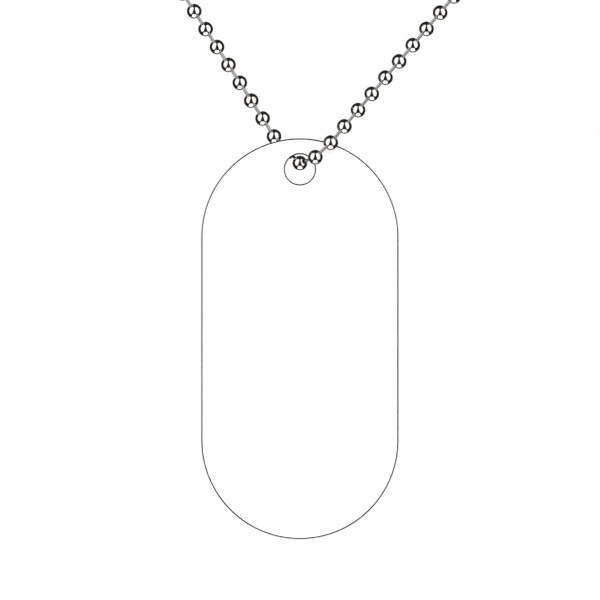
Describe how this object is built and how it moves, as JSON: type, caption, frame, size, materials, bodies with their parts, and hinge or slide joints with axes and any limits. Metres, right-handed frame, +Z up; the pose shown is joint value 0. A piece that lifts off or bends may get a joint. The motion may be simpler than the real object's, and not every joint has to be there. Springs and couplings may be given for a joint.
{
  "type": "identification dog tag on a bead-chain necklace",
  "caption": "Blank white identification tag with full round ends, hanging by the hole near its top from a closed necklace of small bright metal beads.",
  "frame": {"origin": "the middle of the neck opening, at the centre of the arc that the necklace makes round the neck", "axes": "+Z up and out of the top of the neck opening, +X to the right as seen from the front; the tag's front faces -Y and the nape lies towards +Y"},
  "size_m": [0.1732, 0.1259, 0.2135],
  "materials": {
    "white_enamel": "smooth white enamel on sheet steel, with a bare rounded edge",
    "bright_nickel": "polished bright nickel plate"
  },
  "bodies": {
    "chain": {"chain_beads": "bright_nickel", "chain_wire": "bright_nickel", "clasp": "bright_nickel"},
    "tag": {"tag": "white_enamel"}
  },
  "joints": [
    {"name": "tag_swing", "type": "hinge", "parent": "chain", "child": "tag", "pos_m": [-0.0097, -0.04763, -0.12224], "axis": [0, 1, 0], "range_deg": [-90, 90]}
  ]
}
